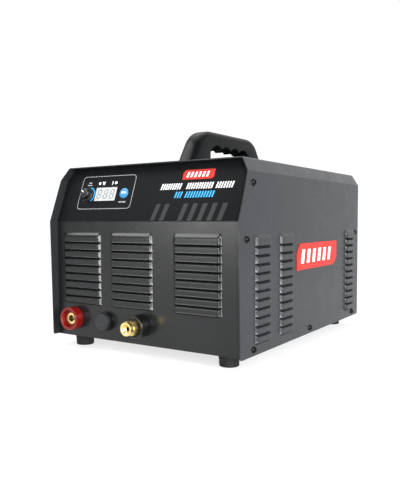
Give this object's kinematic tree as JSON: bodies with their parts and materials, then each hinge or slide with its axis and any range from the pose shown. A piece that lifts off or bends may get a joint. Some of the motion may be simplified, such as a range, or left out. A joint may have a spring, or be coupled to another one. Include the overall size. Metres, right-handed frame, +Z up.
{
  "type": "plasma cutter unit",
  "caption": "Bench plasma cutter in a louvred sheet-metal case with a grip handle, rubber feet, front connectors, knob, button and display, and a rear fan.",
  "frame": {"origin": "middle of the bounding box, on the plane under the rubber feet", "axes": "+X to the right as the user faces the front panel, -Y out of the front panel, +Z up; the case is longest along Y"},
  "size_m": [0.2872, 0.41, 0.2825],
  "materials": {
    "cover_paint": "fine textured dark grey powder coat",
    "panel_paint": "satin anthracite powder coat",
    "panel_film": "semi-gloss black film with printed marks",
    "inner_steel": "zinc plated steel",
    "black_steel": "black oxide screws",
    "rubber": "matte black rubber",
    "handle_plastic": "fine grained black plastic",
    "badge_red": "red printed plate with plain white bars",
    "socket_red": "dark red moulded plastic",
    "brass": "machined brass",
    "black_plastic": "black moulded plastic",
    "cap_grey": "dark grey moulded cap",
    "knob_black": "black knob with a white pointer line",
    "button_blue": "blue push button",
    "window_white": "pale display window with segments",
    "led_lens": "clear indicator lenses",
    "board_green": "green circuit board",
    "component_blue": "blue component body",
    "grille_wire": "bright steel wire",
    "rocker_red": "red rocker",
    "heatsink_aluminium": "extruded aluminium",
    "capacitor_sleeve": "dark sleeve",
    "ferrite": "dark grey ferrite",
    "copper_winding": "enamelled copper wire and tape",
    "hose_blue": "blue air hose",
    "cable_red": "red insulated lead",
    "cable_black": "black insulated lead"
  },
  "bodies": {
    "case": {"wrap_cover": "cover_paint", "front_panel": "panel_paint", "panel_overlay": "panel_film", "rear_panel": "panel_paint", "base_pan": "inner_steel", "rubber_feet": "rubber", "foot_screws": "inner_steel", "cover_screws": "black_steel", "handle": "handle_plastic", "handle_plate": "inner_steel", "handle_screws": "inner_steel", "side_badges": "badge_red", "front_badge": "badge_red", "work_socket_body": "socket_red", "work_socket_insert": "brass", "work_socket_nut": "socket_red", "torch_collar": "black_plastic", "torch_connector": "brass", "torch_connector_nut": "brass", "control_socket": "black_plastic", "control_socket_pins": "brass", "control_socket_nut": "inner_steel", "potentiometer": "component_blue", "button_switch": "black_plastic", "display_window": "window_white", "display_module": "window_white", "indicator_leds": "led_lens", "control_board": "board_green", "control_board_posts": "inner_steel", "fan_frame": "black_plastic", "fan_grille": "grille_wire", "fan_screws": "black_steel", "power_switch_body": "black_plastic", "cable_gland": "black_plastic", "gland_cap": "black_plastic", "gland_locknut": "black_plastic", "air_inlet": "brass", "air_inlet_nut": "brass", "earth_stud": "inner_steel", "earth_nuts": "inner_steel", "power_board": "board_green", "power_board_posts": "inner_steel", "heatsinks": "heatsink_aluminium", "power_transistors": "black_plastic", "bus_capacitors": "capacitor_sleeve", "transformer_core": "ferrite", "transformer_winding": "copper_winding", "choke_core": "ferrite", "choke_winding": "copper_winding", "valve_body": "brass", "valve_coil": "black_plastic", "air_hoses": "hose_blue", "output_leads": "cable_red", "mains_leads": "cable_black"},
    "knob": {"current_knob": "knob_black", "pot_shaft": "inner_steel"},
    "button": {"test_button": "button_blue"},
    "socket_cap": {"control_socket_cap": "cap_grey"},
    "fan": {"fan_rotor": "black_plastic"},
    "rocker": {"power_rocker": "rocker_red"}
  },
  "joints": [
    {"name": "current_knob_turn", "type": "hinge", "parent": "case", "child": "knob", "pos_m": [-0.094, -0.16757, 0.19647], "axis": [0, -0.9366, 0.3504], "range_deg": [-195, 75]},
    {"name": "test_button_press", "type": "slide", "parent": "case", "child": "button", "axis": [0, 0.9366, -0.3504], "range_m": [0, 0.001], "stiffness_N_per_m": 900, "springref_m": -0.001},
    {"name": "socket_cap_pull", "type": "slide", "parent": "case", "child": "socket_cap", "axis": [0, -1, 0], "range_m": [0, 0.012]},
    {"name": "fan_spin", "type": "hinge", "parent": "case", "child": "fan", "pos_m": [-0.05, 0.155, 0.1], "axis": [0, 1, 0], "continuous": true},
    {"name": "power_rocker_tilt", "type": "hinge", "parent": "case", "child": "rocker", "pos_m": [0.088, 0.172, 0.174], "axis": [1, 0, 0], "range_deg": [-20, 0]}
  ]
}
